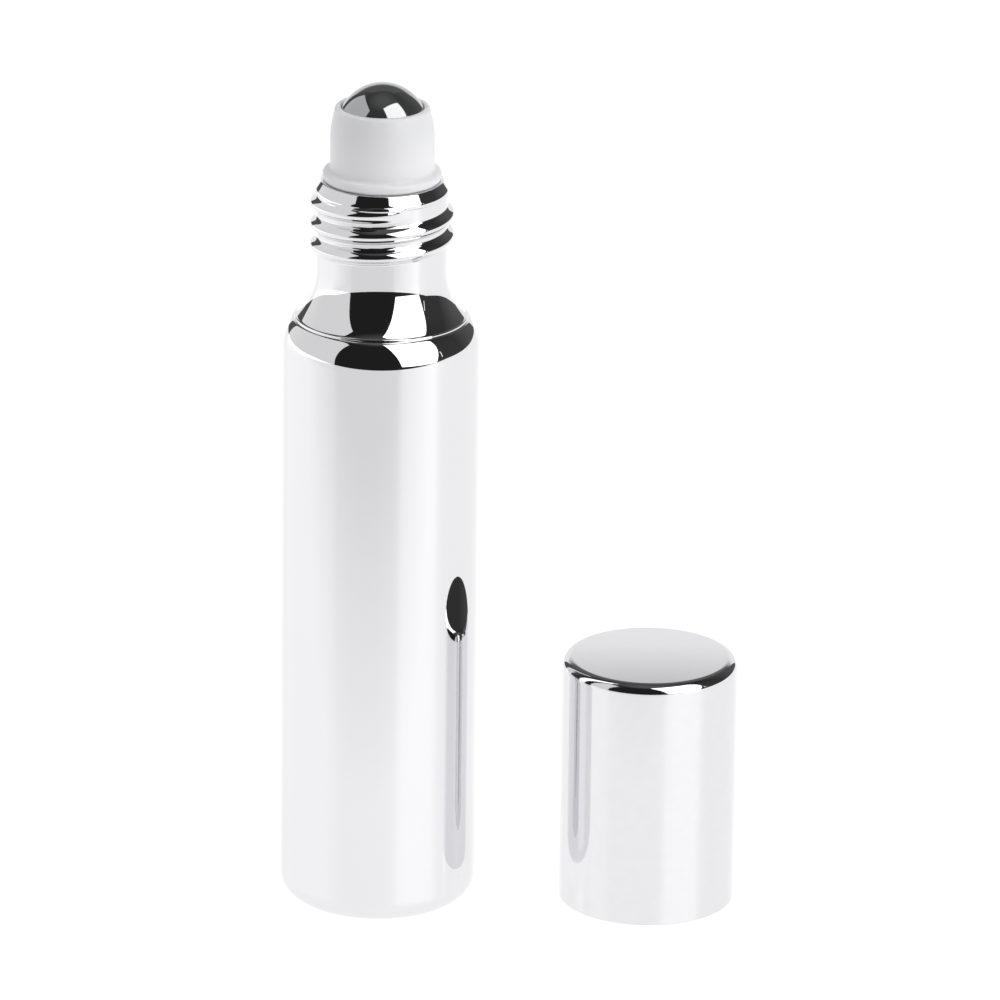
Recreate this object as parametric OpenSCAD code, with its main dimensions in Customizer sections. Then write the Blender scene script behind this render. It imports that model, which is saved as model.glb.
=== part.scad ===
// Roll-on bottle, 10 ml: glass bottle, roller insert with its ball, and the screw cap standing beside it.
// Millimetres, +Z up. The origin is the centre of the bottle's base, where it stands.

/* [Bottle body] */
// Outer diameter of the glass body
body_d = 20; // [18:0.5:24]
// Height of the straight body, from the table to where the shoulder begins
body_h = 59.6; // [40:0.1:80]
// Thickness of the glass in the body wall
body_wall = 1.9; // [1.5:0.1:2.4]
// Thickness of the glass floor at the edge of the hollow under it
floor_t = 3; // [2:0.1:5]
// Radius of the outer corner round the base
base_round = 2.4; // [1:0.1:3]
// Radius of the inner corner round the floor
floor_round = 2.2; // [1:0.1:3]
// Diameter of the hollow under the base
punt_d = 13; // [10:0.5:14]
// Depth of the hollow under the base
punt_depth = 0.6; // [0.3:0.1:1]

/* [Shoulder] */
// Height of the shoulder, from the body to the straight neck
shoulder_h = 7.8; // [6.5:0.1:9]
// Radius of the outward curve above the body
shoulder_round = 3.9; // [3:0.1:5]
// Radius of the inward curve below the neck
neck_root_round = 6.7; // [4:0.1:8]

/* [Neck] */
// Outer diameter of the neck between the threads
neck_d = 13.2; // [12.6:0.1:13.8]
// Diameter of the bore through the neck
neck_bore_d = 9.8; // [9:0.1:10.2]
// Height of the neck, from the shoulder to the lip
neck_h = 9.4; // [8.6:0.1:13]
// Outer diameter of the lip
lip_d = 13.7; // [13.4:0.1:14]
// Height of the lip band
lip_h = 1.3; // [1.2:0.1:1.8]
// Radius of the lip's outer edge
lip_round = 1; // [0.6:0.1:1.1]
// Radius of the lip's inner edge
mouth_round = 0.35; // [0.2:0.05:0.5]

/* [Thread] */
// Outer diameter over the thread
thread_d = 14.6; // [14.2:0.1:15]
// Rise of the thread in one turn
thread_pitch = 2.2; // [2.1:0.05:2.6]
// Number of turns on the neck
thread_turns = 2.6; // [1.5:0.1:3]
// Width of the thread where it leaves the neck
thread_w = 1.5; // [1.2:0.1:1.6]
// Distance from the lip down to the middle of the thread's upper end
thread_drop = 1.65; // [1.5:0.05:2]
// Direction in which the thread's upper end points, seen from above
thread_end_angle = -65; // [-180:5:180]
// Angle over which each end of the thread runs out
thread_runout = 60; // [30:5:90]

/* [Roller housing] */
// Diameter of the sleeve round the ball
sleeve_d = 10.5; // [10.4:0.1:11.4]
// Height of the sleeve above the flange
sleeve_h = 6.6; // [6.2:0.1:7.5]
// Radius of the sleeve's upper outer edge
rim_round = 0.9; // [0.4:0.1:0.9]
// Diameter of the opening that the ball looks out of
opening_d = 8.3; // [7.8:0.1:8.4]
// Width of the bevel inside the opening
opening_bevel = 0.12; // [0.05:0.01:0.2]
// Diameter of the flange that sits on the lip
flange_d = 11.95; // [11.6:0.05:13]
// Thickness of the flange
flange_t = 1; // [0.8:0.1:1.4]
// Radius of the flange's edges
flange_round = 0.3; // [0.1:0.05:0.4]
// Radius of the fillet between flange and sleeve
sleeve_fillet = 0.3; // [0.1:0.05:0.5]
// Length of the plug in the neck
plug_l = 8; // [6:0.5:10]
// Thickness of the plug's wall between its rings
plug_wall = 0.85; // [0.7:0.05:1]
// Radial clearance of the plug's rings in the neck
plug_clearance = 0.03; // [0.02:0.01:0.06]
// Height of the plug's rings above its wall
ring_rise = 0.25; // [0.15:0.05:0.35]
// Height of one ring at its foot
ring_h = 0.9; // [0.6:0.1:1.2]
// Number of rings on the plug
ring_count = 3; // [2:1:3]
// Bevel at the plug's lower end
plug_bevel = 0.35; // [0.2:0.05:0.5]

/* [Ball and seat] */
// Diameter of the ball
ball_d = 9.3; // [9.2:0.05:9.5]
// Clearance between the ball and its socket
ball_clearance = 0.05; // [0.03:0.01:0.08]
// Diameter of the ring that the ball sits on
seat_d = 7; // [6.6:0.1:7.4]
// Gap for the liquid between the ball's lowest point and the web
feed_gap = 0.4; // [0.3:0.05:0.6]
// Thickness of the web under the ball
web_t = 0.8; // [0.6:0.1:1.2]
// Diameter of the feed hole through the web
feed_d = 2.2; // [1.6:0.1:3]
// Number of small ribs between the web and the ball
rib_count = 4; // [3:1:6]
// Thickness of those ribs
rib_t = 0.5; // [0.4:0.05:0.7]

/* [Cap shell] */
// Outer diameter of the cap
cap_d = 18; // [17.6:0.1:19]
// Thickness of the drawn aluminium
shell_t = 0.4; // [0.3:0.05:0.5]
// Radius of the edge round the closed end
cap_round = 1.05; // [0.8:0.05:1.6]
// Radius of the trimmed edges round the mouth
trim_round = 0.12; // [0.08:0.01:0.14]
// Distance that the closed cap reaches down past the shoulder's upper end
cap_skirt = 4.2; // [3.5:0.1:4.8]
// Gap between the bottle and the cap standing beside it
cap_spacing = 8.7; // [4:0.1:20]

/* [Cap liner] */
// Distance from the shell's mouth in to the liner's mouth
liner_recess = 1.2; // [0.8:0.1:1.8]
// Thickness of the liner's wall round the thread
liner_wall = 0.55; // [0.45:0.05:0.6]
// Thickness of the liner's wall round the roller
sleeve_wall = 0.9; // [0.7:0.1:1.2]
// Thickness of the liner's closed end
liner_top_t = 0.9; // [0.7:0.1:1.4]
// Radial clearance between the two threads
thread_clearance = 0.25; // [0.15:0.05:0.3]
// Clearance round the roller and above the lip in the closed cap
roller_clearance = 0.35; // [0.15:0.05:0.4]
// Gap for glue between the liner's fins and the shell
glue_gap = 0.05; // [0.02:0.01:0.08]
// Number of turns of the liner's thread
liner_turns = 1.6; // [1:0.1:2]
// Width of the liner's thread where it leaves the wall
liner_thread_w = 1.1; // [0.9:0.05:1.3]
// Number of fins between liner and shell
fin_count = 8; // [6:1:12]
// Thickness of a fin
fin_t = 0.8; // [0.6:0.1:1]
// Diameter of the ring that seals on the ball
seal_d = 5; // [4:0.1:6]
// Thickness of that ring
seal_t = 0.6; // [0.4:0.1:0.8]
// Gap between the ball and that ring when the cap is closed
seal_gap = 0.05; // [0.02:0.01:0.1]
// Room between the ball and the end wall of the closed cap
ball_headroom = 1.4; // [0.5:0.1:2.5]

/* [Hidden] */
$fn = 96;
// Steps in which each rounded edge of an outline is drawn
arc_steps = 8;
// Steps round one turn of a thread, and across its ridge
turn_steps = 24;
ridge_steps = 6;
// How far ridges and ribs are rooted in the wall that carries them
root_depth = 0.25;
// Smallest size of a thread's section where it runs out, as a share of the full one
runout_share = 0.3;

body_r = body_d / 2;
inner_r = body_r - body_wall;
punt_r = punt_d / 2;
neck_r = neck_d / 2;
bore_r = neck_bore_d / 2;
lip_r = lip_d / 2;
neck_wall = neck_r - bore_r;
neck_foot_z = body_h + shoulder_h;
lip_z = neck_foot_z + neck_h;
thread_r = thread_d / 2;
thread_foot_z = lip_z - thread_drop - thread_turns * thread_pitch;

sleeve_r = sleeve_d / 2;
flange_r = flange_d / 2;
flange_z = lip_z + flange_t;
rim_z = flange_z + sleeve_h;
opening_r = opening_d / 2;
ball_r = ball_d / 2;
socket_r = ball_r + ball_clearance;
opening_z = rim_z - opening_bevel;
ball_z = opening_z - sqrt(pow(socket_r, 2) - pow(opening_r, 2));
ball_top_z = ball_z + ball_r;
seat_r = seat_d / 2;
web_z = ball_z - ball_r - feed_gap;
plug_r = bore_r - plug_clearance;
core_r = plug_r - ring_rise;
plug_bore_r = core_r - plug_wall;
plug_foot_z = lip_z - plug_l;
ring_step = plug_l / (ring_count + 1);

cap_r = cap_d / 2;
shell_r = cap_r - shell_t;
cap_x = body_r + cap_spacing + cap_r;
// Level of the closed cap's mouth on the bottle: heights inside the cap are measured from it
closed_z = neck_foot_z - cap_skirt;
ball_top_h = ball_top_z - closed_z;
liner_ceiling_h = ball_top_h + ball_headroom;
liner_top_h = liner_ceiling_h + liner_top_t;
cap_h = liner_top_h + shell_t;
inner_cap_round = cap_round - shell_t;
step_h = lip_z - closed_z + roller_clearance;
liner_thread_r = thread_r + thread_clearance;
liner_crest_r = neck_r + thread_clearance;
liner_r = liner_thread_r + liner_wall;
sleeve_bore_r = flange_r + roller_clearance;
sleeve_wall_r = sleeve_bore_r + sleeve_wall;
fin_r = shell_r - glue_gap;
fin_top_h = liner_top_h - inner_cap_round - glue_gap;
seal_r = seal_d / 2;
seal_foot_h = ball_top_h + seal_gap - ball_r + sqrt(pow(ball_r, 2) - pow(seal_r, 2));
// The liner's thread runs half a pitch below the neck's thread when the cap is closed
liner_thread_foot_h = thread_foot_z - closed_z - thread_pitch / 2;

// Points of an arc about a centre, from one angle to another
function arc(centre, r, from, to) = [
    for (i = [0:arc_steps])
        let (a = from + (to - from) * i / arc_steps)
        centre + r * [cos(a), sin(a)]
];

// Lean of the straight stretch between two curves that join a wide wall to a narrow one above it
function lean(w, h, rounds) =
    atan2(h, rounds - w) - acos(min(1, rounds / norm([rounds - w, h])));

// Two curves from a wide wall at its upper end up to a narrow wall, limited by the room between the walls
function shoulder(wide, narrow, crest_r, root_r) =
    let (
        w = wide[0] - narrow[0],
        h = narrow[1] - wide[1],
        fit = min(1, (w * w + h * h) / (2 * w * (crest_r + root_r))),
        a = lean(w, h, fit * (crest_r + root_r))
    )
    concat(
        arc(wide - [fit * crest_r, 0], fit * crest_r, 0, a),
        arc(narrow + [fit * root_r, 0], fit * root_r, 180 + a, 180)
    );

// The points of a list in the other order
function reversed(points) = [for (i = [len(points) - 1:-1:0]) points[i]];

// Unbroken helical ridge, rooted in a wall. A positive rise stands out of a shaft, a negative one into a bore
module ridge(wall_r, rise, w, turns, foot_z, foot_angle) {
    side = rise > 0 ? 1 : -1;
    rings = ceil(turns * turn_steps);
    root_r = wall_r - side * root_depth;
    across = concat(
        [[0, -w / 2]],
        [for (j = [1:ridge_steps - 1]) let (a = 180 * j / ridge_steps) [sin(a), -cos(a) * w / 2]],
        [[0, w / 2]]
    );
    section = side > 0 ? across : reversed(across);
    size = len(section);
    points = [
        for (i = [0:rings])
            let (
                turned = 360 * turns * i / rings,
                left = min(turned, 360 * turns - turned),
                grown = runout_share + (1 - runout_share) * sin(90 * min(1, left / thread_runout)),
                a = foot_angle + turned,
                z = foot_z + turned / 360 * thread_pitch
            )
            for (p = section)
                let (r = root_r + side * (abs(rise) + root_depth) * p[0] * grown)
                [r * cos(a), r * sin(a), z + p[1] * grown]
    ];
    walls = [
        for (i = [0:rings - 1])
            for (j = [0:size - 1])
                let (
                    a = i * size + j,
                    b = i * size + (j + 1) % size,
                    c = a + size,
                    d = b + size
                )
                each [[a, b, c], [b, d, c]]
    ];
    ends = [
        for (j = [1:size - 2])
            each [[0, j + 1, j], [rings * size, rings * size + j, rings * size + j + 1]]
    ];
    polyhedron(points = points, faces = concat(walls, ends), convexity = 10);
}

// Outline of the glass: up the outside, then down the inside
module glass_outline() {
    punt_sphere_r = (pow(punt_r, 2) + pow(punt_depth, 2)) / (2 * punt_depth);
    punt_half_angle = asin(punt_r / punt_sphere_r);
    lip_foot_z = lip_z - lip_h;
    lip_step = lip_r - neck_r;
    inside = shoulder(
        [inner_r, body_h],
        [bore_r, neck_foot_z],
        shoulder_round - body_wall,
        neck_root_round + neck_wall
    );
    polygon(concat(
        arc([0, punt_depth - punt_sphere_r], punt_sphere_r, 90, 90 - punt_half_angle),
        arc([body_r - base_round, base_round], base_round, -90, 0),
        shoulder([body_r, body_h], [neck_r, neck_foot_z], shoulder_round, neck_root_round),
        [[neck_r, lip_foot_z - lip_step], [lip_r, lip_foot_z]],
        arc([lip_r - lip_round, lip_z - lip_round], lip_round, 0, 90),
        arc([bore_r + mouth_round, lip_z - mouth_round], mouth_round, 90, 180),
        reversed(inside),
        arc([inner_r - floor_round, floor_t + floor_round], floor_round, 0, -90),
        [[0, floor_t]]
    ));
}

module bottle() {
    color([0.84, 0.85, 0.87])
    union() {
        rotate_extrude()
            glass_outline();
        ridge(
            neck_r,
            thread_r - neck_r,
            thread_w,
            thread_turns,
            thread_foot_z,
            thread_end_angle - 360 * thread_turns
        );
    }
}

// Outline of one sealing ring on the plug, from its foot up
function plug_ring(z) = [
    [core_r, z - ring_h / 2],
    [plug_r, z - ring_h / 2 + ring_rise],
    [plug_r, z + ring_h / 2 - ring_rise],
    [core_r, z + ring_h / 2]
];

// Outline of the roller housing: up the outside, down through the ball's socket, the web and the plug's bore
module housing_outline() {
    rings = [for (i = [1:ring_count]) each plug_ring(plug_foot_z + i * ring_step)];
    polygon(concat(
        [
            [plug_bore_r, plug_foot_z],
            [core_r - plug_bevel, plug_foot_z],
            [core_r, plug_foot_z + plug_bevel]
        ],
        rings,
        [[core_r, lip_z]],
        arc([flange_r - flange_round, lip_z + flange_round], flange_round, -90, 0),
        arc([flange_r - flange_round, flange_z - flange_round], flange_round, 0, 90),
        arc([sleeve_r + sleeve_fillet, flange_z + sleeve_fillet], sleeve_fillet, -90, -180),
        arc([sleeve_r - rim_round, rim_z - rim_round], rim_round, 0, 90),
        [[opening_r + opening_bevel, rim_z]],
        arc([0, ball_z], socket_r, acos(opening_r / socket_r), -acos(seat_r / socket_r)),
        [
            [seat_r, web_z],
            [feed_d / 2, web_z],
            [feed_d / 2, web_z - web_t],
            [plug_bore_r, web_z - web_t]
        ]
    ));
}

module roller_housing() {
    color([0.95, 0.95, 0.96])
    union() {
        rotate_extrude()
            housing_outline();
        difference() {
            for (i = [0:rib_count - 1])
                rotate([0, 0, (i + 1 / 2) * 360 / rib_count])
                    translate([feed_d / 2 + rib_t, -rib_t / 2, web_z - root_depth])
                        cube([seat_r + root_depth - feed_d / 2 - rib_t, rib_t, ball_z - web_z]);
            translate([0, 0, ball_z])
                sphere(r = socket_r);
        }
    }
}

module roller_ball() {
    color([0.62, 0.64, 0.67])
    translate([0, 0, ball_z])
        sphere(r = ball_r);
}

// Outline of the drawn shell: round its trimmed mouth, up the outside, over the closed end and down the inside
module shell_outline() {
    polygon(concat(
        arc([shell_r + trim_round, trim_round], trim_round, 180, 270),
        arc([cap_r - trim_round, trim_round], trim_round, -90, 0),
        arc([cap_r - cap_round, cap_h - cap_round], cap_round, 0, 90),
        [[0, cap_h], [0, liner_top_h]],
        arc([shell_r - inner_cap_round, liner_top_h - inner_cap_round], inner_cap_round, 90, 0)
    ));
}

module cap_shell() {
    color([0.86, 0.87, 0.88])
    translate([cap_x, 0, 0])
        rotate_extrude()
            shell_outline();
}

// Outline of the liner: up the outside, over its closed end, round the sealing ring and down the inside
module liner_outline() {
    polygon([
        [liner_r, liner_recess],
        [liner_r, step_h],
        [sleeve_wall_r, step_h + sleeve_wall],
        [sleeve_wall_r, liner_top_h],
        [0, liner_top_h],
        [0, liner_ceiling_h],
        [seal_r - seal_t / 2, liner_ceiling_h],
        [seal_r, seal_foot_h],
        [seal_r + seal_t / 2, liner_ceiling_h],
        [sleeve_bore_r, liner_ceiling_h],
        [sleeve_bore_r, step_h],
        [liner_thread_r, step_h],
        [liner_thread_r, liner_recess]
    ]);
}

module cap_liner() {
    color([0.93, 0.93, 0.92])
    translate([cap_x, 0, 0])
    union() {
        rotate_extrude()
            liner_outline();
        intersection() {
            for (i = [0:fin_count - 1])
                rotate([0, 0, i * 360 / fin_count])
                    translate([0, -fin_t / 2, liner_recess])
                        cube([cap_r, fin_t, fin_top_h - liner_recess]);
            rotate_extrude()
                polygon([
                    [liner_r - root_depth, liner_recess],
                    [fin_r, liner_recess],
                    [fin_r, fin_top_h],
                    [sleeve_wall_r - root_depth, fin_top_h],
                    [sleeve_wall_r - root_depth, step_h + sleeve_wall],
                    [liner_r - root_depth, step_h]
                ]);
        }
        ridge(
            liner_thread_r,
            liner_crest_r - liner_thread_r,
            liner_thread_w,
            liner_turns,
            liner_thread_foot_h,
            thread_end_angle - 360 * thread_turns
        );
    }
}

bottle();
roller_housing();
roller_ball();
cap_shell();
cap_liner();
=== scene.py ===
"""Mirror-plated glass roll-on bottle with a steel ball, and its aluminium screw cap standing beside it."""

import math

import bmesh
import bpy
from mathutils import Matrix, Quaternion, Vector


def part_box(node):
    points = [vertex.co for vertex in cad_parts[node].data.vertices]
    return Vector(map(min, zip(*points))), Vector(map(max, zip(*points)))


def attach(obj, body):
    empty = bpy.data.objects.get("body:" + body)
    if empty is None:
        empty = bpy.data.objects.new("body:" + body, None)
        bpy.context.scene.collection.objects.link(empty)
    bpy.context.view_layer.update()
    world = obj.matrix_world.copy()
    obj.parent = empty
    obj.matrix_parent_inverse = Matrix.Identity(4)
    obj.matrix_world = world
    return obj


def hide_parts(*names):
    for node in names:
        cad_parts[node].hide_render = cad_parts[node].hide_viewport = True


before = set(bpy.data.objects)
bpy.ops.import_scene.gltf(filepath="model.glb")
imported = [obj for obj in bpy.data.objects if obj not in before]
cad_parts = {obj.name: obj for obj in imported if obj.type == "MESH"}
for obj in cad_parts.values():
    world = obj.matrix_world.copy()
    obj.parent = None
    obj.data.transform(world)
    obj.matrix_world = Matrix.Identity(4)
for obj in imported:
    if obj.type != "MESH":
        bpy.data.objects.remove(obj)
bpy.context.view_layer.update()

MM = 0.001
MICRON = 0.000001

# The places and main sizes come from the frame
BOTTLE_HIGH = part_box("bottle")[1]
INSERT_LOW, INSERT_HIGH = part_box("roller_housing")
BALL_LOW, BALL_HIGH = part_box("roller_ball")
COVER_LOW, COVER_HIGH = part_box("cap_shell")
INNER_LOW, INNER_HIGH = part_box("cap_liner")

BODY_R = BOTTLE_HIGH.x
LIP_Z = BOTTLE_HIGH.z
BALL_CENTRE = (BALL_LOW + BALL_HIGH) / 2
BALL_R = (BALL_HIGH.x - BALL_LOW.x) / 2
FLANGE_R = INSERT_HIGH.x
RIM_Z = INSERT_HIGH.z
PLUG_FOOT_Z = INSERT_LOW.z
CAP_X = (COVER_LOW.x + COVER_HIGH.x) / 2
CAP_R = (COVER_HIGH.x - COVER_LOW.x) / 2
CAP_H = COVER_HIGH.z
INNER_FOOT_Z = INNER_LOW.z
INNER_TOP_Z = INNER_HIGH.z
FIN_R = (INNER_HIGH.x - INNER_LOW.x) / 2

# Glass
BODY_WALL = 1.9 * MM
FLOOR_T = 3 * MM
BASE_ROUND = 2.4 * MM
FLOOR_ROUND = 2.2 * MM
PUNT_R = 6.5 * MM
PUNT_DEPTH = 0.6 * MM
NECK_FOOT_Z = LIP_Z - 9.4 * MM
BODY_TOP_Z = NECK_FOOT_Z - 7.8 * MM
SHOULDER_ROUND = 3.9 * MM
NECK_ROOT_ROUND = 6.7 * MM
NECK_R = 6.6 * MM
BORE_R = 4.9 * MM
LIP_R = 6.75 * MM
LIP_H = 1.3 * MM
LIP_UNDER_ROUND = 0.1 * MM
LIP_LEAN_H = 0.95 * MM
LIP_LEAN_R = 6.15 * MM
LIP_ROUND = 0.7 * MM
LIP_TOP_ROUND = 0.15 * MM
LIP_FOOT_Z = LIP_Z - LIP_H
LIP_MIDDLE_R = (LIP_R + BORE_R) / 2
MOUTH_ROUND = 0.35 * MM

# Fine step round the middle of the shoulder, where the tool that formed it met the body
TOOL_STEP_RISE = 0.092 * MM
TOOL_STEP_SPREAD = 0.1 * MM
TOOL_STEP_REACH = 0.42 * MM
TOOL_STEP_FADE = 0.546 * MM
TOOL_STEP_ROW = 0.022 * MM

# Neck thread
THREAD_R = 7.3 * MM
THREAD_PITCH = 2.2 * MM
THREAD_TURNS = 2.6
THREAD_W = 1.8 * MM
THREAD_DROP = 1.65 * MM
THREAD_END_ANGLE = -65
THREAD_RUNOUT = 60
THREAD_FOOT_Z = LIP_Z - THREAD_DROP - THREAD_TURNS * THREAD_PITCH
THREAD_FOOT_ANGLE = THREAD_END_ANGLE - 360 * THREAD_TURNS
THREAD_CLEAR = 1 * MM
THREAD_ROW = 0.09 * MM
RIDGE_SOFTNESS = 1.5

# Roller insert
SLEEVE_R = 5.25 * MM
SLEEVE_TAPER_H = 2.4 * MM
SLEEVE_TAPER_ROUND = 7 * MM
SLEEVE_RIM_R = 4.75 * MM
SLEEVE_RIM_ROUND = 0.32 * MM
SLEEVE_FILLET = 0.35 * MM
FLANGE_T = 1 * MM
FLANGE_ROUND = 0.35 * MM
OPENING_R = 4.15 * MM
OPENING_BEVEL = 0.12 * MM
SOCKET_R = BALL_R + 0.05 * MM
SEAT_R = 3.5 * MM
WEB_Z = BALL_LOW.z - 0.4 * MM
WEB_T = 0.8 * MM
FEED_R = 1.1 * MM
RIB_COUNT = 4
RIB_T = 0.5 * MM
RIB_H = 0.6 * MM
RING_R = 4.87 * MM
PLUG_R = 4.62 * MM
PLUG_BORE_R = 3.77 * MM
PLUG_BEVEL = 0.35 * MM
RING_COUNT = 3
RING_STEP = 2 * MM
RING_FOOT = 0.45 * MM
RING_FLAT = 0.2 * MM
SOFT_EDGE = 0.08 * MM

# Cap
COVER_T = 0.4 * MM
COVER_ROUND = 1.05 * MM
COVER_CROWN_R = 400 * MM
TRIM_ROUND = 0.12 * MM
INNER_WALL_R = 8.1 * MM
INNER_BORE_R = 7.55 * MM
INNER_CREST_R = 6.85 * MM
CLOSED_Z = NECK_FOOT_Z - 4.2 * MM
ROLLER_ROOM = 0.35 * MM
INNER_STEP_Z = LIP_Z - CLOSED_Z + ROLLER_ROOM
CROWN_BORE_R = FLANGE_R + ROLLER_ROOM
CROWN_WALL_R = CROWN_BORE_R + 0.9 * MM
INNER_CEILING_Z = INNER_TOP_Z - 0.9 * MM
SEAL_R = 2.5 * MM
SEAL_T = 0.6 * MM
SEAL_FOOT_Z = BALL_CENTRE.z - CLOSED_Z + math.sqrt(BALL_R**2 - SEAL_R**2) + 0.05 * MM
INNER_ROUND = 0.15 * MM
INNER_THREAD_W = 1.3 * MM
INNER_THREAD_TURNS = 1.6
INNER_THREAD_FOOT_Z = THREAD_FOOT_Z - CLOSED_Z - THREAD_PITCH / 2
INNER_THREAD_ROW = 0.135 * MM
FIN_COUNT = 8
FIN_T = 0.8 * MM
FIN_TOP_Z = INNER_TOP_Z - COVER_ROUND + COVER_T - 0.05 * MM

# How finely the pieces are drawn
QUARTER_STEPS = 60
CHORD_ERROR = 0.0003 * MM
HIDDEN_CHORD_ERROR = 0.0015 * MM
WIDEST_STEP = math.radians(9)
CROWN_STEPS = 24
BALL_SUBDIVISIONS = 6
HOLD = 0.08 * MM
WELD = 0.0005 * MM
SHARP_ANGLE = math.radians(50)

# The range that most of a soft noise lies in
MIDTONES = (0.3, 0.7)


def turned(vector, angle):
    """A flat vector turned anticlockwise."""
    c, s = math.cos(angle), math.sin(angle)
    return Vector((c * vector.x - s * vector.y, s * vector.x + c * vector.y))


def arc(centre, start, angle, error=CHORD_ERROR):
    """Points of an arc, given its start from its centre. No chord misses it by more than the error."""
    finest = 2 * math.acos(1 - error / start.length)
    steps = max(2, math.ceil(abs(angle) / min(finest, WIDEST_STEP)))
    return [centre + turned(start, angle * i / steps) for i in range(steps + 1)]


def rounded(corners, error=CHORD_ERROR):
    """Outline through corners (r, z, round): each round is an arc tangent to both of its sides."""
    points = []
    for i, (r, z, size) in enumerate(corners):
        here = Vector((r, z))
        if not size:
            points.append(here)
            continue
        back = (Vector(corners[i - 1][:2]) - here).normalized()
        ahead = (Vector(corners[i + 1][:2]) - here).normalized()
        half = back.angle(ahead) / 2
        centre = here + (back + ahead).normalized() * size / math.sin(half)
        start = here + back * size / math.tan(half) - centre
        side = 1 if back.x * ahead.y - back.y * ahead.x < 0 else -1
        points += arc(centre, start, side * (math.pi - 2 * half), error)
    return points


def held(points):
    """The outline with a point close to each end of a long straight, which keeps smooth shading true."""
    out = [points[0]]
    for a, b in zip(points, points[1:]):
        gap = (b - a).length
        if gap > 4 * HOLD:
            out += [a.lerp(b, HOLD / gap), b.lerp(a, HOLD / gap)]
        out.append(b)
    return out


def lathe(bm, outline, finish=0, row=None):
    """Turns an outline a quarter round Z. Rows cut its long straights into short ones."""
    verts = [bm.verts.new((p.x, 0, p.y)) for p in held(outline)]
    edges = [bm.edges.new(pair) for pair in zip(verts, verts[1:])]
    if row:
        for edge in [e for e in edges if e.calc_length() > 2 * row]:
            cuts = math.ceil(edge.calc_length() / row) - 1
            bmesh.ops.subdivide_edges(bm, edges=[edge], cuts=cuts)
    wire = [v for v in bm.verts if not v.link_faces]
    spun = wire + [e for e in bm.edges if e.is_wire]
    before = set(bm.faces)
    bmesh.ops.spin(bm, geom=spun, cent=(0, 0, 0), axis=(0, 0, 1), angle=math.pi / 2, steps=QUARTER_STEPS)
    for face in bm.faces:
        if face not in before:
            face.material_index = finish


def full_round(bm, kept=()):
    """Mirrors the turned quarter to the full round. The kept faces stay single."""
    for axis in ("X", "Y"):
        made = [f for f in bm.faces if f not in kept]
        skin = {v for f in made for v in f.verts} | {e for f in made for e in f.edges}
        bmesh.ops.mirror(bm, geom=[*skin, *made], matrix=Matrix(), merge_dist=WELD, axis=axis)


def lean(width, height, rounds):
    """Lean of the straight between the two rounds that join a wide wall to a narrow one above it."""
    reach = math.hypot(rounds - width, height)
    return math.atan2(height, rounds - width) - math.acos(min(1, rounds / reach))


def shoulder(wide_r, narrow_r, crest_round, root_round):
    """The two corners of a shoulder from the lower up, their rounds limited by the room for them."""
    width = wide_r - narrow_r
    height = NECK_FOOT_Z - BODY_TOP_Z
    rounds = crest_round + root_round
    fit = min(1, (width**2 + height**2) / (2 * width * rounds))
    reach = fit * math.tan(lean(width, height, fit * rounds) / 2)
    return [
        (wide_r, BODY_TOP_Z + crest_round * reach, fit * crest_round),
        (narrow_r, NECK_FOOT_Z - root_round * reach, fit * root_round),
    ]


def tool_step(outline, low_centre, high_centre, share):
    """Works the fine step into the outline at a share of the way between the shoulder's two centres."""
    middle = low_centre.lerp(high_centre, share)
    out = (high_centre - low_centre).normalized()
    along = Vector((-out.y, out.x))
    cut = [outline[0]]
    for a, b in zip(outline, outline[1:]):
        near = min((a - middle).length, (b - middle).length) < TOOL_STEP_REACH
        parts = math.ceil((b - a).length / TOOL_STEP_ROW) if near else 1
        cut += [a.lerp(b, (i + 1) / parts) for i in range(parts)]
    for p in cut:
        if (p - middle).length < TOOL_STEP_FADE:
            run = (p - middle).dot(along) / TOOL_STEP_SPREAD
            p += out * TOOL_STEP_RISE * run * math.exp(-run * run / 2)
    return cut


def raise_thread(verts, rise, width, turns, foot_z, foot_angle):
    """Moves a plain wall out, or in for a negative rise, along a right-handed helix with faded ends."""
    for v in verts:
        angle = math.degrees(math.atan2(v.co.y, v.co.x)) - foot_angle
        height = 0
        for lap in range(math.ceil(turns) + 1):
            run = angle % 360 + 360 * lap
            left = min(run, 360 * turns - run)
            off = (v.co.z - foot_z - run / 360 * THREAD_PITCH) / (width / 2)
            if left > 0 and abs(off) < 1:
                fade = math.sin(math.pi / 2 * min(1, left / THREAD_RUNOUT))
                height = max(height, fade * (1 - off * off) ** RIDGE_SOFTNESS)
        if height:
            r = math.hypot(v.co.x, v.co.y)
            v.co.xy *= (r + rise * height) / r


def finished(name, bm, place, *materials):
    """Closes the seams, turns the faces outwards and makes the object, with its place in its mesh."""
    bmesh.ops.remove_doubles(bm, verts=bm.verts, dist=WELD)
    bmesh.ops.recalc_face_normals(bm, faces=bm.faces)
    bmesh.ops.translate(bm, verts=bm.verts, vec=place)
    mesh = bpy.data.meshes.new(name)
    bm.to_mesh(mesh)
    bm.free()
    mesh.shade_smooth()
    mesh.set_sharp_from_angle(angle=SHARP_ANGLE)
    for material in materials:
        mesh.materials.append(material)
    piece = bpy.data.objects.new(name, mesh)
    bpy.context.scene.collection.objects.link(piece)
    return piece


def stands_for(piece, node, body):
    """The piece replaces a CAD node and rides on its body."""
    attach(piece, body)
    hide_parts(node)


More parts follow.
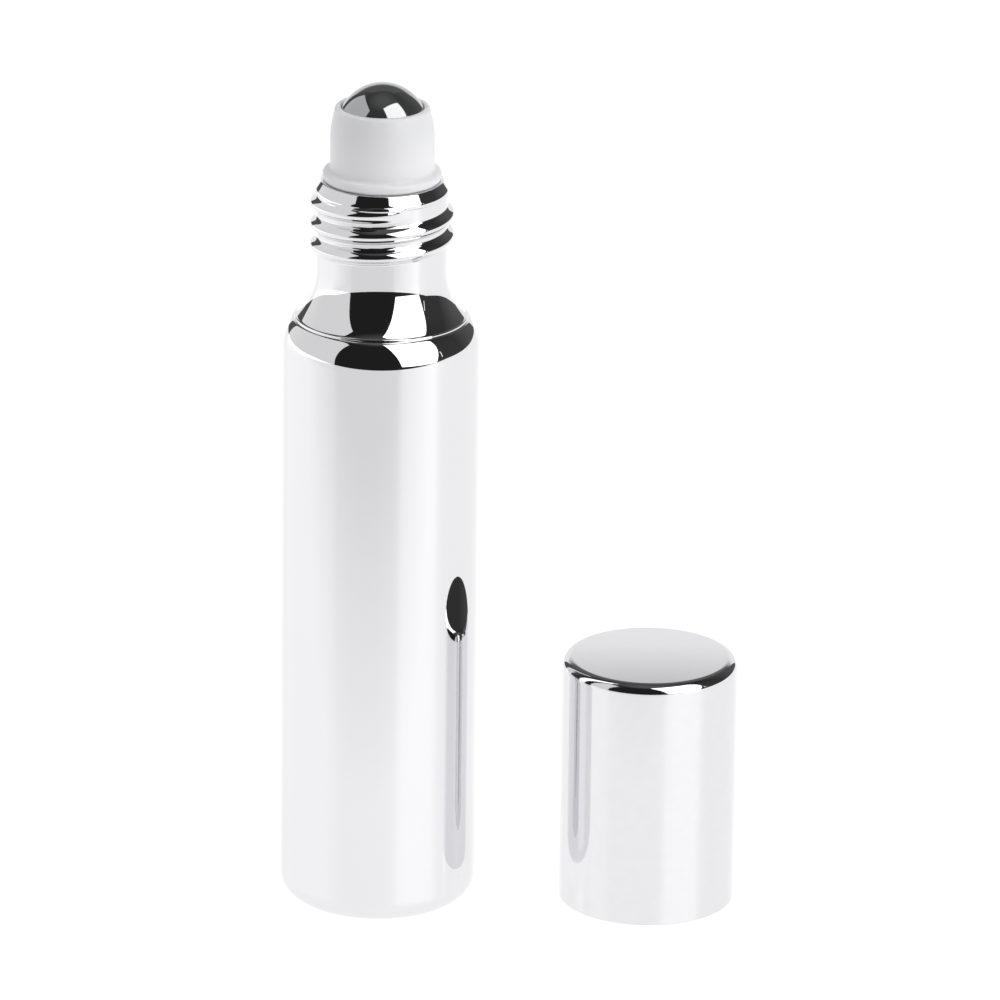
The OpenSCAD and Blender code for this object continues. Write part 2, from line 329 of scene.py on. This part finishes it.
class Finish:
    """A material under construction: its nodes, its surface shader and the object's own coordinates."""

    def __init__(self, name, **values):
        self.material = bpy.data.materials.new(name)
        self.material.use_nodes = True
        self.tree = self.material.node_tree
        self.shader = self.tree.nodes["Principled BSDF"]
        self.place = self.tree.nodes.new("ShaderNodeTexCoord").outputs["Object"]
        for socket, value in values.items():
            self.shader.inputs[socket.replace("_", " ")].default_value = value

    def node(self, kind, links=(), **values):
        """A new node with its values set and its inputs linked."""
        made = self.tree.nodes.new(kind)
        for name, value in values.items():
            setattr(made, name, value)
        for socket, source in dict(links).items():
            if isinstance(source, bpy.types.NodeSocket):
                self.tree.links.new(source, made.inputs[socket])
            else:
                made.inputs[socket].default_value = source
        return made

    def speckle(self, scale, detail, stretch=(1, 1, 1)):
        """Soft noise. The stretch gives how much finer it is along each axis."""
        moved = self.node("ShaderNodeMapping", {"Vector": self.place, "Scale": stretch})
        links = {"Vector": moved.outputs[0], "Scale": scale, "Detail": detail}
        return self.node("ShaderNodeTexNoise", links).outputs["Fac"]

    def scratches(self, scale, width, stretch):
        """Thin lines where a stretched cell pattern has its borders."""
        moved = self.node("ShaderNodeMapping", {"Vector": self.place, "Scale": stretch})
        links = {"Vector": moved.outputs[0], "Scale": scale}
        cells = self.node("ShaderNodeTexVoronoi", links, feature="DISTANCE_TO_EDGE")
        return self.spread(cells.outputs["Distance"], (0, width), (1, 0))

    def spread(self, source, given, wanted):
        """Maps one range of values to another."""
        limits = {"From Min": given[0], "From Max": given[1], "To Min": wanted[0], "To Max": wanted[1]}
        return self.node("ShaderNodeMapRange", {"Value": source, **limits}).outputs[0]

    def together(self, a, b):
        """The sum of two patterns."""
        return self.node("ShaderNodeMath", {0: a, 1: b}, operation="ADD").outputs[0]

    def tint(self, source, low, high):
        """Two tones of the colour, mixed by a pattern."""
        ramp = self.node("ShaderNodeValToRGB", {"Fac": source})
        ramp.color_ramp.elements[0].color = (*low, 1)
        ramp.color_ramp.elements[1].color = (*high, 1)
        self.tree.links.new(ramp.outputs["Color"], self.shader.inputs["Base Color"])

    def rough(self, source):
        """The roughness follows a pattern."""
        self.tree.links.new(source, self.shader.inputs["Roughness"])

    def glow(self, source):
        """The light that the surface gives off follows a pattern."""
        self.tree.links.new(source, self.shader.inputs["Emission Strength"])

    def relief(self, *layers):
        """Bumps, each a pattern and its height in metres."""
        normal = None
        for source, height in layers:
            links = {"Height": source, "Distance": height, "Strength": 1}
            if normal:
                links["Normal"] = normal
            normal = self.node("ShaderNodeBump", links).outputs[0]
        self.tree.links.new(normal, self.shader.inputs["Normal"])


def silver_plating():
    """Vacuum silver under clear lacquer: nearly a perfect mirror, with slight waves as in moulded glass."""
    skin = Finish("silver_plating", Metallic=1)
    waves = skin.speckle(scale=110, detail=1, stretch=(1, 1, 0.5))
    peel = skin.speckle(scale=900, detail=2)
    skin.tint(waves, (0.798, 0.796, 0.812), (0.824, 0.822, 0.835))
    wipes = skin.scratches(scale=260, width=0.015, stretch=(1, 0.35, 1.6))
    fine = skin.spread(peel, MIDTONES, (0.012, 0.03))
    skin.rough(skin.together(fine, skin.spread(wipes, (0, 1), (0, 0.05))))
    skin.relief((waves, 5 * MICRON), (peel, 0.25 * MICRON))
    return skin.material


def silver_behind_glass():
    """The bore and the inside of the body: the silver seen through the bare glass."""
    skin = Finish("silver_behind_glass", Metallic=0.9, Coat_Weight=0.6, Coat_Roughness=0.03)
    swirl = skin.speckle(scale=160, detail=3)
    skin.tint(swirl, (0.6, 0.62, 0.62), (0.74, 0.76, 0.76))
    skin.rough(skin.spread(swirl, MIDTONES, (0.08, 0.2)))
    skin.relief((swirl, 15 * MICRON))
    return skin.material


def moulded_polyethylene():
    """Soft white plastic that lets a little light through."""
    skin = Finish(
        "moulded_polyethylene",
        Subsurface_Weight=0.35,
        Subsurface_Radius=(1, 0.95, 0.9),
        Subsurface_Scale=0.0012,
        IOR=1.51,
    )
    cloud = skin.speckle(scale=240, detail=2)
    grain = skin.speckle(scale=5200, detail=2)
    skin.tint(cloud, (0.925, 0.922, 0.95), (0.967, 0.965, 0.985))
    skin.rough(skin.spread(grain, MIDTONES, (0.32, 0.46)))
    skin.relief((cloud, 8 * MICRON), (grain, 1.2 * MICRON))
    return skin.material


def polished_steel():
    """Lapped and polished bearing steel with hair-fine marks all over."""
    skin = Finish("polished_steel", Metallic=0.93)
    cloud = skin.speckle(scale=420, detail=2)
    marks = skin.scratches(scale=900, width=0.02, stretch=(1, 0.2, 1.5))
    skin.tint(cloud, (0.44, 0.445, 0.455), (0.5, 0.505, 0.515))
    fine = skin.spread(cloud, MIDTONES, (0.03, 0.06))
    skin.rough(skin.together(fine, skin.spread(marks, (0, 1), (0, 0.08))))
    skin.relief((cloud, 0.4 * MICRON))
    return skin.material


def bright_aluminium():
    """Drawn and brightened aluminium: a soft mirror with faint lines along the draw."""
    skin = Finish("bright_aluminium", Metallic=1)
    draw = skin.speckle(scale=2600, detail=2, stretch=(1, 1, 0.015))
    peel = skin.speckle(scale=700, detail=2)
    waves = skin.speckle(scale=120, detail=1, stretch=(1, 1, 0.4))
    skin.tint(peel, (0.778, 0.775, 0.798), (0.818, 0.815, 0.835))
    lines = skin.spread(draw, MIDTONES, (0.03, 0.07))
    skin.rough(skin.together(lines, skin.spread(peel, (0.4, 0.7), (0, 0.02))))
    skin.relief((waves, 4 * MICRON), (draw, 0.15 * MICRON), (peel, 0.4 * MICRON))
    return skin.material


def moulded_polypropylene():
    """The harder, slightly glossy white plastic of the inner cap."""
    skin = Finish("moulded_polypropylene", IOR=1.49, Subsurface_Weight=0.15, Subsurface_Scale=0.0008)
    cloud = skin.speckle(scale=300, detail=3)
    grain = skin.speckle(scale=3800, detail=2)
    skin.tint(cloud, (0.84, 0.84, 0.83), (0.91, 0.91, 0.9))
    skin.rough(skin.spread(grain, MIDTONES, (0.24, 0.36)))
    skin.relief((cloud, 10 * MICRON), (grain, 1.5 * MICRON))
    return skin.material


def glass_outside():
    """Outside of the glass from the edge of the hollow to the middle of the lip, with its fine step."""
    outline = rounded(
        [
            (PUNT_R, 0, 0),
            (BODY_R, 0, BASE_ROUND),
            *shoulder(BODY_R, NECK_R, SHOULDER_ROUND, NECK_ROOT_ROUND),
            (NECK_R, LIP_FOOT_Z - (LIP_R - NECK_R), LIP_UNDER_ROUND),
            (LIP_R, LIP_FOOT_Z, LIP_UNDER_ROUND),
            (LIP_R, LIP_Z - LIP_LEAN_H, LIP_ROUND),
            (LIP_LEAN_R, LIP_Z, LIP_TOP_ROUND),
            (LIP_MIDDLE_R, LIP_Z, 0),
        ]
    )
    crest = Vector((BODY_R - SHOULDER_ROUND, BODY_TOP_Z))
    root = Vector((NECK_R + NECK_ROOT_ROUND, NECK_FOOT_Z))
    return tool_step(outline, crest, root, SHOULDER_ROUND / (SHOULDER_ROUND + NECK_ROOT_ROUND))


def glass_inside():
    """Inside of the glass from the middle of the lip down to the floor."""
    crest_round = SHOULDER_ROUND - BODY_WALL
    root_round = NECK_ROOT_ROUND + NECK_R - BORE_R
    return rounded(
        [
            (LIP_MIDDLE_R, LIP_Z, 0),
            (BORE_R, LIP_Z, MOUTH_ROUND),
            *reversed(shoulder(BODY_R - BODY_WALL, BORE_R, crest_round, root_round)),
            (BODY_R - BODY_WALL, FLOOR_T, FLOOR_ROUND),
            (0, FLOOR_T, 0),
        ],
        HIDDEN_CHORD_ERROR,
    )


def build_bottle():
    """The glass. Only the wall that carries the thread is turned in fine rows."""
    bm = bmesh.new()
    punt_round = (PUNT_R**2 + PUNT_DEPTH**2) / (2 * PUNT_DEPTH)
    punt_centre = Vector((0, PUNT_DEPTH - punt_round))
    punt = arc(punt_centre, Vector((0, punt_round)), -math.asin(PUNT_R / punt_round))
    outside = glass_outside()
    neck = next(i for i, p in enumerate(outside) if p.y > NECK_FOOT_Z - WELD)
    lip = next(i for i, p in enumerate(outside) if p.y > LIP_FOOT_Z + LIP_UNDER_ROUND)
    lathe(bm, punt[:-1] + outside[: neck + 1])
    lathe(bm, outside[neck : lip + 1], row=THREAD_ROW)
    lathe(bm, outside[lip:])
    lathe(bm, glass_inside(), finish=1)
    full_round(bm)
    walls = [v for v in bm.verts if math.hypot(v.co.x, v.co.y) > LIP_MIDDLE_R]
    threaded = [v for v in walls if NECK_FOOT_Z < v.co.z < LIP_Z - THREAD_CLEAR]
    raise_thread(threaded, THREAD_R - NECK_R, THREAD_W, THREAD_TURNS, THREAD_FOOT_Z, THREAD_FOOT_ANGLE)
    bottle = finished("bottle_glass", bm, (0, 0, 0), silver_plating(), silver_behind_glass())
    stands_for(bottle, "bottle", "bottle")


def plug_ring(z):
    """Corners of one sealing ring on the plug, from its foot up."""
    return [
        (PLUG_R, z - RING_FOOT, SOFT_EDGE),
        (RING_R, z - RING_FLAT, SOFT_EDGE),
        (RING_R, z + RING_FLAT, SOFT_EDGE),
        (PLUG_R, z + RING_FOOT, SOFT_EDGE),
    ]


def block(bm, low, high, angle):
    """A bar with softened edges between two corners, turned round Z."""
    made = bmesh.ops.create_cube(bm, size=1)["verts"]
    middle = (Vector(low) + Vector(high)) / 2
    bmesh.ops.scale(bm, verts=made, vec=Vector(high) - Vector(low))
    edges = list({e for v in made for e in v.link_edges})
    bevelled = bmesh.ops.bevel(
        bm,
        geom=edges,
        offset=SOFT_EDGE / 2,
        offset_type="OFFSET",
        segments=2,
        profile=0.5,
        affect="EDGES",
        material=-1,
    )
    made = list({v for f in bevelled["faces"] for v in f.verts})
    bmesh.ops.translate(bm, verts=made, vec=middle)
    bmesh.ops.rotate(bm, verts=made, cent=(0, 0, 0), matrix=Matrix.Rotation(angle, 3, "Z"))


def insert_outside(start_z, socket_top):
    """Outline of the insert from inside the plug, round its foot and up outside to the sleeve's opening."""
    flange_z = LIP_Z + FLANGE_T
    rings = [plug_ring(PLUG_FOOT_Z + (i + 1) * RING_STEP) for i in range(RING_COUNT)]
    return rounded(
        [
            (PLUG_BORE_R, start_z, 0),
            (PLUG_BORE_R, PLUG_FOOT_Z, SOFT_EDGE),
            (PLUG_R - PLUG_BEVEL, PLUG_FOOT_Z, SOFT_EDGE),
            (PLUG_R, PLUG_FOOT_Z + PLUG_BEVEL, SOFT_EDGE),
            *[corner for ring in rings for corner in ring],
            (PLUG_R, LIP_Z, SOFT_EDGE),
            (FLANGE_R, LIP_Z, FLANGE_ROUND),
            (FLANGE_R, flange_z, FLANGE_ROUND),
            (SLEEVE_R, flange_z, SLEEVE_FILLET),
            (SLEEVE_R, RIM_Z - SLEEVE_TAPER_H, SLEEVE_TAPER_ROUND),
            (SLEEVE_RIM_R, RIM_Z, SLEEVE_RIM_ROUND),
            (OPENING_R + OPENING_BEVEL, RIM_Z, OPENING_BEVEL / 2),
            (*socket_top, 0),
        ]
    )


def insert_under(socket_foot, end_z):
    """Outline of the insert from the ball's seat, over the web and its feed hole, into the plug."""
    return rounded(
        [
            (*socket_foot, 0),
            (SEAT_R, WEB_Z, SOFT_EDGE),
            (FEED_R, WEB_Z, SOFT_EDGE),
            (FEED_R, WEB_Z - WEB_T, SOFT_EDGE),
            (PLUG_BORE_R, WEB_Z - WEB_T, SOFT_EDGE),
            (PLUG_BORE_R, end_z, 0),
        ]
    )


def build_insert():
    """The roller insert. Its outline starts and ends on the straight wall inside the plug."""
    bm = bmesh.new()
    start_z = PLUG_FOOT_Z + RING_STEP
    socket_top = Vector((OPENING_R, BALL_CENTRE.z + math.sqrt(SOCKET_R**2 - OPENING_R**2)))
    socket_foot = Vector((SEAT_R, BALL_CENTRE.z - math.sqrt(SOCKET_R**2 - SEAT_R**2)))
    socket_centre = Vector((0, BALL_CENTRE.z))
    socket_turn = (socket_foot - socket_centre).angle(socket_top - socket_centre)
    socket = arc(socket_centre, socket_top - socket_centre, -socket_turn)
    for i in range(RIB_COUNT):
        low = (FEED_R + RIB_T, -RIB_T / 2, WEB_Z - RIB_H / 2)
        high = (SEAT_R + RIB_T / 2, RIB_T / 2, WEB_Z + RIB_H)
        block(bm, low, high, (i + 0.5) * math.tau / RIB_COUNT)
    ribs = set(bm.faces)
    lathe(bm, insert_outside(start_z, socket_top)[:-1] + socket + insert_under(socket_foot, start_z)[1:])
    full_round(bm, ribs)
    insert = finished("roller_insert", bm, (0, 0, 0), moulded_polyethylene())
    stands_for(insert, "roller_housing", "roller")


def build_ball():
    """The steel ball, which is a true sphere."""
    bm = bmesh.new()
    bmesh.ops.create_icosphere(bm, subdivisions=BALL_SUBDIVISIONS, radius=BALL_R)
    ball = finished("steel_ball", bm, BALL_CENTRE, polished_steel())
    stands_for(ball, "roller_ball", "ball")


def build_cover():
    """The drawn cover: trimmed mouth, straight wall, rounded edge and a top with a slight crown."""
    bm = bmesh.new()
    edge_r = CAP_R - COVER_ROUND
    reach = COVER_CROWN_R - COVER_ROUND
    crown_centre = Vector((0, CAP_H - COVER_CROWN_R))
    edge_z = crown_centre.y + math.sqrt(reach**2 - edge_r**2)
    slope = math.asin(edge_r / reach)
    top = Vector((0, COVER_CROWN_R))
    crown = [crown_centre + turned(top, -slope * i / CROWN_STEPS) for i in range(CROWN_STEPS)]
    edge = arc(Vector((edge_r, edge_z)), turned(Vector((0, COVER_ROUND)), -slope), slope - math.pi / 2)
    mouth = rounded(
        [
            (CAP_R, edge_z, 0),
            (CAP_R, 0, TRIM_ROUND),
            (CAP_R - COVER_T, 0, TRIM_ROUND),
            (CAP_R - COVER_T, CAP_H - COVER_T, COVER_ROUND - COVER_T),
            (0, CAP_H - COVER_T, 0),
        ]
    )
    lathe(bm, crown + edge[:-1] + mouth)
    full_round(bm)
    cover = finished("cap_cover", bm, (CAP_X, 0, 0), bright_aluminium())
    stands_for(cover, "cap_shell", "cap")


def inner_cap_outline():
    """Outline of the inner cap from its top, down the outside to the mouth and up inside to the ceiling."""
    return rounded(
        [
            (0, INNER_TOP_Z, 0),
            (CROWN_WALL_R, INNER_TOP_Z, INNER_ROUND),
            (CROWN_WALL_R, INNER_STEP_Z + CROWN_WALL_R - CROWN_BORE_R, INNER_ROUND),
            (INNER_WALL_R, INNER_STEP_Z, INNER_ROUND),
            (INNER_WALL_R, INNER_FOOT_Z, INNER_ROUND),
            (INNER_BORE_R, INNER_FOOT_Z, INNER_ROUND),
            (INNER_BORE_R, INNER_STEP_Z, INNER_ROUND),
            (CROWN_BORE_R, INNER_STEP_Z, INNER_ROUND),
            (CROWN_BORE_R, INNER_CEILING_Z, INNER_ROUND),
            (SEAL_R + SEAL_T / 2, INNER_CEILING_Z, SOFT_EDGE),
            (SEAL_R, SEAL_FOOT_Z, SOFT_EDGE),
            (SEAL_R - SEAL_T / 2, INNER_CEILING_Z, SOFT_EDGE),
            (0, INNER_CEILING_Z, 0),
        ]
    )


def glue_fin(bm, angle):
    """One fin: its lower part stands on the threaded wall and its upper part on the crown."""
    step_top_z = INNER_STEP_Z + INNER_ROUND
    wall_r = INNER_WALL_R - 2 * INNER_ROUND
    crown_r = CROWN_WALL_R - 2 * INNER_ROUND
    block(bm, (wall_r, -FIN_T / 2, INNER_FOOT_Z), (FIN_R, FIN_T / 2, step_top_z), angle)
    block(bm, (crown_r, -FIN_T / 2, INNER_STEP_Z), (FIN_R, FIN_T / 2, FIN_TOP_Z), angle)


def build_inner_cap():
    """The inner cap: threaded mouth, step over the lip, crown round the roller, sealing ring, glue fins."""
    bm = bmesh.new()
    for i in range(FIN_COUNT):
        glue_fin(bm, i * math.tau / FIN_COUNT)
    fins = set(bm.faces)
    outline = inner_cap_outline()
    bore = [i for i, p in enumerate(outline) if abs(p.x - INNER_BORE_R) < WELD]
    lathe(bm, outline[: bore[0] + 1])
    lathe(bm, outline[bore[0] : bore[-1] + 1], row=INNER_THREAD_ROW)
    lathe(bm, outline[bore[-1] :])
    full_round(bm, fins)
    low_z = outline[bore[0]].y
    high_z = outline[bore[-1]].y
    walls = [v for v in bm.verts if abs(math.hypot(v.co.x, v.co.y) - INNER_BORE_R) < WELD]
    bored = [v for v in walls if low_z < v.co.z < high_z]
    rise = INNER_CREST_R - INNER_BORE_R
    raise_thread(bored, rise, INNER_THREAD_W, INNER_THREAD_TURNS, INNER_THREAD_FOOT_Z, THREAD_FOOT_ANGLE)
    inner = finished("inner_cap", bm, (CAP_X, 0, 0), moulded_polypropylene())
    stands_for(inner, "cap_liner", "cap")


# The table: a sheet of white acrylic lit from below, whose front edge lies between object and camera.
# Its glow fades towards the front and the left, which is painted shade
TABLE_FRONT = 0.32
TABLE_BACK = 2.6
TABLE_SIDE = 2.4
TABLE_GLOW = 0.98
TABLE_PAINTED_SHADE_GLOW = 0.76
PAINTED_SHADE_START = 0.045
PAINTED_SHADE_END = 0.16
PAINTED_SHADE_LEFTWARD = 0.25

# The backdrop: paper far behind, its glow painted light as if it were lit from below, which fades upwards
# and shows only in reflections
BACKDROP_Y = 2
BACKDROP_HALF_WIDTH = 1.1
BACKDROP_TOP = 3.2
BACKDROP_GLOW = 0.92
BACKDROP_DIM_GLOW = 0.11
FADE_FOOT = 0.74
FADE_TOP = 1.14

# The lights: middle, half side across, half side up, and radiance
SOFTBOX = ((0.431, -0.3765, 0.497), (0.228, 0.228, -0.0145), (-0.181, 0.1905, 0.485), 2)
FILL_PANEL = ((-0.504, 0.105, 0.44), (0.0165, -0.4722, 0), (0, 0, 0.44), 0.76)
OVERHEAD = ((0, 0.1, 1.3), (0.45, 0, 0), (0, 0.45, 0), 1.5)
EDGE_LIGHT = ((0.873, -0.218, 0.26), (0.002, 0.008, 0), (0, 0, 0.115), 1.2)

# The room: for each direction, where the room starts and stops getting paler towards it, and by how much
ROOM_LEVEL = 0.005
ROOM_GLOWS = (("Z", 0.86, 1, 0.09), ("Y", 0.3, 1, 0.1), ("X", 0.3, 0.9, 0.025))


def sheet_of(name, material, low, high, turn=0):
    """A flat sheet between two corners, turned about its near edge, that isn't part of the object."""
    bm = bmesh.new()
    bmesh.ops.create_grid(bm, x_segments=1, y_segments=1, size=0.5)
    bmesh.ops.scale(bm, verts=bm.verts, vec=(high[0] - low[0], high[1] - low[1], 1))
    bmesh.ops.translate(bm, verts=bm.verts, vec=((low[0] + high[0]) / 2, (low[1] + high[1]) / 2, 0))
    bmesh.ops.rotate(bm, verts=bm.verts, cent=(0, low[1], 0), matrix=Matrix.Rotation(turn, 3, "X"))
    mesh = bpy.data.meshes.new(name)
    bm.to_mesh(mesh)
    bm.free()
    mesh.materials.append(material)
    sheet = bpy.data.objects.new(name, mesh)
    bpy.context.scene.collection.objects.link(sheet)
    return sheet


def acrylic_with_painted_shade():
    """White acrylic with light under it; its glow fades towards the front and the left as painted shade."""
    acrylic = Finish("acrylic_with_painted_shade", Emission_Color=(1, 1, 1, 1), Specular_IOR_Level=0.15)
    haze = acrylic.speckle(scale=3, detail=2)
    acrylic.tint(haze, (0.07, 0.07, 0.07), (0.08, 0.08, 0.08))
    acrylic.rough(acrylic.spread(haze, MIDTONES, (0.36, 0.4)))
    parts = acrylic.node("ShaderNodeSeparateXYZ", {"Vector": acrylic.place})
    forward = acrylic.spread(parts.outputs["Y"], (-1, 1), (1, -1))
    leftward = acrylic.spread(parts.outputs["X"], (-1, 1), (PAINTED_SHADE_LEFTWARD, -PAINTED_SHADE_LEFTWARD))
    near = acrylic.together(forward, leftward)
    # Painted shade: the glow drops from the full table glow to a lower one towards the front and the left
    acrylic.glow(acrylic.spread(near, (PAINTED_SHADE_START, PAINTED_SHADE_END), (TABLE_GLOW, TABLE_PAINTED_SHADE_GLOW)))
    return acrylic.material


def paper_with_painted_light():
    """Matt paper that glows white as painted light, brightest at its foot."""
    paper = Finish("paper_with_painted_light", Roughness=0.9, Specular_IOR_Level=0, Emission_Color=(1, 1, 1, 1))
    fibre = paper.speckle(scale=40, detail=3)
    paper.tint(fibre, (0.05, 0.05, 0.05), (0.06, 0.06, 0.06))
    height = paper.node("ShaderNodeSeparateXYZ", {"Vector": paper.place}).outputs["Z"]
    # Painted light: the glow is strongest at the paper's foot and fades upwards, as if lit from below
    paper.glow(paper.spread(height, (FADE_FOOT, FADE_TOP), (BACKDROP_GLOW, BACKDROP_DIM_GLOW)))
    return paper.material


def build_table():
    """The table that the bottle and its cap stand on."""
    sheet_of("table", acrylic_with_painted_shade(), (-TABLE_SIDE, -TABLE_FRONT), (TABLE_SIDE, TABLE_BACK))


def build_backdrop():
    """The paper behind the table, stood up on its near edge."""
    low = (-BACKDROP_HALF_WIDTH, BACKDROP_Y)
    high = (BACKDROP_HALF_WIDTH, BACKDROP_Y + BACKDROP_TOP)
    paper = sheet_of("backdrop", paper_with_painted_light(), low, high, math.pi / 2)
    paper.visible_camera = False


def light_panel(name, middle, across, up, radiance):
    """A soft rectangular light that the lens doesn't see.

    Its half sides, across and up, give its size and its turn. It shines along up x across.
    """
    across = Vector(across)
    away = across.cross(Vector(up))
    square_up = away.cross(across).normalized()
    lamp = bpy.data.lights.new(name, "AREA")
    lamp.shape = "RECTANGLE"
    lamp.size = 2 * across.length
    lamp.size_y = 2 * Vector(up).length
    lamp.energy = radiance * math.pi * lamp.size * lamp.size_y
    panel = bpy.data.objects.new(name, lamp)
    turn = Matrix((across.normalized(), square_up, away.normalized())).transposed().to_4x4()
    panel.matrix_world = Matrix.Translation(middle) @ turn
    panel.visible_camera = False
    bpy.context.scene.collection.objects.link(panel)
    return panel


def build_lights():
    """The soft light on the right, the panel on the left, the light above and the thin edge light."""
    light_panel("softbox", *SOFTBOX)
    light_panel("fill_panel", *FILL_PANEL)
    light_panel("overhead", *OVERHEAD).visible_glossy = False
    light_panel("edge_light", *EDGE_LIGHT)


def room_level(tree):
    """How bright the room is in each direction."""
    place = tree.nodes.new("ShaderNodeTexCoord")
    towards = tree.nodes.new("ShaderNodeSeparateXYZ")
    tree.links.new(place.outputs["Generated"], towards.inputs[0])
    level = None
    for axis, start, end, rise in ROOM_GLOWS:
        part = tree.nodes.new("ShaderNodeMapRange")
        tree.links.new(towards.outputs[axis], part.inputs["Value"])
        limits = {"From Min": start, "From Max": end, "To Min": ROOM_LEVEL, "To Max": ROOM_LEVEL + rise}
        for socket, value in limits.items():
            part.inputs[socket].default_value = value
        if level is None:
            level = part.outputs[0]
            continue
        both = tree.nodes.new("ShaderNodeMath")
        tree.links.new(level, both.inputs[0])
        tree.links.new(part.outputs[0], both.inputs[1])
        level = both.outputs[0]
    return level


def build_room():
    """A dim studio, a little paler above and behind. Only the lens sees it as white, like the table."""
    world = bpy.data.worlds.new("studio")
    bpy.context.scene.world = world
    world.use_nodes = True
    tree = world.node_tree
    tree.nodes.clear()
    dim = tree.nodes.new("ShaderNodeBackground")
    tree.links.new(room_level(tree), dim.inputs["Strength"])
    dim.inputs["Color"].default_value = (1, 1, 1, 1)
    white = tree.nodes.new("ShaderNodeBackground")
    white.inputs["Color"].default_value = (1, 1, 1, 1)
    mix = tree.nodes.new("ShaderNodeMixShader")
    rays = tree.nodes.new("ShaderNodeLightPath")
    out = tree.nodes.new("ShaderNodeOutputWorld")
    tree.links.new(rays.outputs["Is Camera Ray"], mix.inputs[0])
    tree.links.new(dim.outputs[0], mix.inputs[1])
    tree.links.new(white.outputs[0], mix.inputs[2])
    tree.links.new(mix.outputs[0], out.inputs[0])


# The camera, as the photograph was taken: from in front and above, with a long lens
CAMERA_PLACE = Vector((0.01219, -0.8, 0.32766))
CAMERA_AIM = Vector((0.01219, 0, 0.04279))
CAMERA_ROLL = math.radians(0.7)
CAMERA_LENS = 301.2
CAMERA_SENSOR_WIDTH = 36
CAMERA_NEAR = 0.01
CAMERA_FAR = 50


def build_camera():
    """The camera, aimed and then rolled a little, as the photograph is."""
    lens = bpy.data.cameras.new("camera")
    lens.lens = CAMERA_LENS
    lens.sensor_width = CAMERA_SENSOR_WIDTH
    lens.clip_start = CAMERA_NEAR
    lens.clip_end = CAMERA_FAR
    camera = bpy.data.objects.new("camera", lens)
    camera.location = CAMERA_PLACE
    camera.rotation_mode = "QUATERNION"
    aim = (CAMERA_AIM - CAMERA_PLACE).to_track_quat("-Z", "Y")
    camera.rotation_quaternion = aim @ Quaternion((0, 0, 1), CAMERA_ROLL)
    bpy.context.scene.collection.objects.link(camera)
    bpy.context.scene.camera = camera


build_bottle()
build_insert()
build_ball()
build_cover()
build_inner_cap()
build_table()
build_backdrop()
build_lights()
build_room()
build_camera()
bpy.context.scene.view_settings.view_transform = "Standard"
